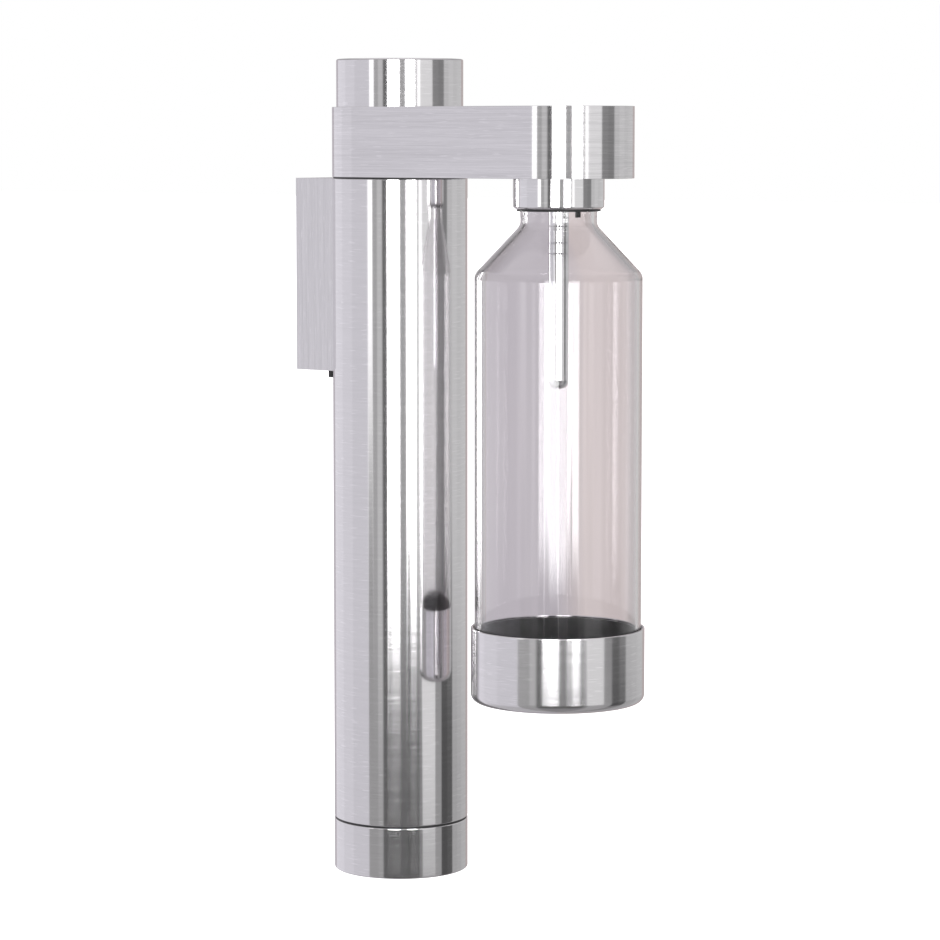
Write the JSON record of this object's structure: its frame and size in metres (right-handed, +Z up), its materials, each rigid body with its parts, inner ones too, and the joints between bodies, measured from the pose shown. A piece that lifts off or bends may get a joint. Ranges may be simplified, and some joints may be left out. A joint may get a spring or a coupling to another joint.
{
  "type": "wall-mounted sparkling water maker",
  "caption": "Wall-mounted sparkling water maker: round column for a gas cylinder, swinging arm with press cap, gas head and clear hanging bottle.",
  "frame": {"origin": "centre of the wall plate's back face, where the bracket meets the wall", "axes": "+Y into the wall, +Z up, +X to the right when facing the wall; the arm points along -Y"},
  "size_m": [0.088, 0.199, 0.4219],
  "materials": {
    "brushed_steel": "fine brushed stainless steel, mirror-like across the grain",
    "satin_underside": "satin stainless steel plate",
    "polished_steel": "polished stainless steel",
    "screw_steel": "plain stainless steel",
    "spring_steel": "drawn spring wire",
    "cast_aluminium": "machined and cast aluminium",
    "cylinder_aluminium": "spun aluminium, satin",
    "brass": "turned brass",
    "black_rubber": "matte black rubber",
    "black_plastic": "matte black acetal",
    "seal_silicone": "translucent silicone",
    "hose_nylon": "pressure hose",
    "clear_glass": "clear polished glass"
  },
  "bodies": {
    "column": {"wall_plate": "cast_aluminium", "bracket_core": "cast_aluminium", "bracket_cover": "brushed_steel", "saddle_pad": "black_rubber", "lock_bar": "screw_steel", "lock_screw": "screw_steel", "column_tube": "brushed_steel", "column_screws": "screw_steel", "upper_guide_ring": "black_plastic", "lower_guide_ring": "black_plastic", "foot_ring": "cast_aluminium", "column_head": "cast_aluminium", "swivel_bush": "black_plastic"},
    "arm": {"arm_shell": "brushed_steel", "arm_underside": "satin_underside", "underside_screws": "screw_steel", "arm_chassis": "cast_aluminium", "chassis_screws": "screw_steel", "valve_block": "brass", "valve_gasket": "black_rubber", "rod_seal": "black_rubber", "relief_valve": "brass", "thrust_washer": "black_plastic", "arm_circlip": "screw_steel", "swing_stop_pin": "screw_steel", "inlet_fitting": "brass", "gas_hose": "hose_nylon", "outlet_fitting": "brass", "nozzle_head": "polished_steel", "check_valve": "black_plastic", "bottle_seal": "seal_silicone", "vent_nipple": "black_rubber", "nozzle_stem": "polished_steel", "carbonation_tube": "polished_steel", "collar": "polished_steel", "cap_guide": "black_plastic", "guide_screws": "screw_steel", "cap_spring": "spring_steel"},
    "button": {"press_cap": "brushed_steel", "cap_carrier": "black_plastic", "push_rod": "polished_steel", "cap_stop_ring": "screw_steel"},
    "bush": {"bayonet_bush": "black_plastic"},
    "bottle": {"bottle_glass": "clear_glass", "bottle_cup": "brushed_steel", "cup_cushion": "black_rubber", "cup_lining": "black_rubber"},
    "lock": {"lock_ring": "black_plastic"},
    "base": {"base_cap": "brushed_steel", "base_insert": "black_plastic", "cylinder_pad": "black_rubber"},
    "cylinder": {"gas_cylinder": "cylinder_aluminium", "cylinder_valve": "brass", "burst_disc_nut": "brass", "valve_spring": "spring_steel"},
    "pin": {"valve_pin": "polished_steel"}
  },
  "joints": [
    {"name": "arm_swing", "type": "hinge", "parent": "column", "child": "arm", "pos_m": [0, -0.055, 0.05], "axis": [0, 0, 1], "range_deg": [-90, 90]},
    {"name": "button_press", "type": "slide", "parent": "arm", "child": "button", "axis": [0, 0, -1], "range_m": [0, 0.004], "stiffness_N_per_m": 2500, "springref_m": -0.008, "deforming": ["cap_spring"]},
    {"name": "bottle_turn", "type": "hinge", "parent": "arm", "child": "bush", "pos_m": [0, -0.155, 0.04], "axis": [0, 0, 1], "range_deg": [0, 60]},
    {"name": "bottle_drop", "type": "slide", "parent": "bush", "child": "bottle", "axis": [0, 0, -1], "range_m": [0, 0.13]},
    {"name": "base_turn", "type": "hinge", "parent": "column", "child": "lock", "pos_m": [0, -0.055, -0.28], "axis": [0, 0, 1], "range_deg": [0, 45]},
    {"name": "base_drop", "type": "slide", "parent": "lock", "child": "base", "axis": [0, 0, -1], "range_m": [0, 0.36]},
    {"name": "cylinder_turn", "type": "hinge", "parent": "base", "child": "cylinder", "pos_m": [0, -0.055, -0.15], "axis": [0, 0, 1], "continuous": true},
    {"name": "pin_press", "type": "slide", "parent": "cylinder", "child": "pin", "axis": [0, 0, -1], "range_m": [0, 0.004], "deforming": ["valve_spring"]}
  ],
  "couplings": [
    {"joint": "pin_press", "follows": "button_press", "ratio": 1}
  ]
}
